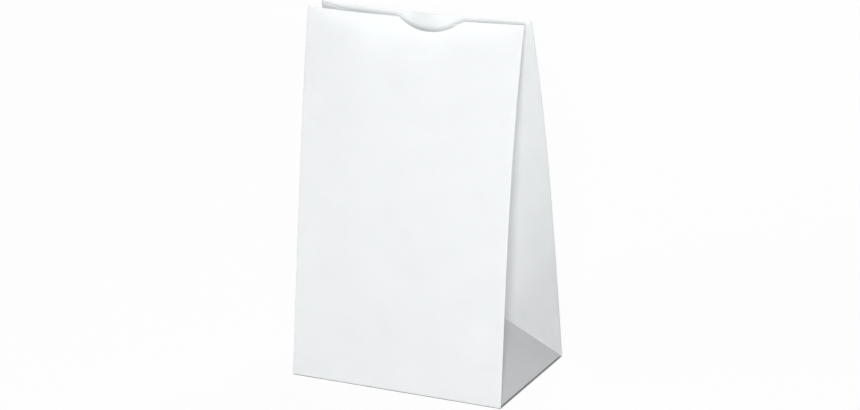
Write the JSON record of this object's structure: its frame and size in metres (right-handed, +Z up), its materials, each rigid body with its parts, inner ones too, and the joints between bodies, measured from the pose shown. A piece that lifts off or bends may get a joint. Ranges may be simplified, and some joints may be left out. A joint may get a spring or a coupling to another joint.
{
  "type": "square-bottom paper bag",
  "caption": "Plain white paper bag with side gussets and a folded flat foot, standing open, with a thumb notch in its front edge.",
  "frame": {"origin": "middle of the foot, on the surface the bag stands on", "axes": "+X along the front panel from left to right, +Y from the front panel to the back panel, +Z up to the mouth"},
  "size_m": [0.1292, 0.0855, 0.2056],
  "materials": {
    "paper": "uncoated machine-glazed white kraft paper, matt, faintly mottled"
  },
  "bodies": {
    "root": {"bag": "paper"}
  },
  "joints": []
}
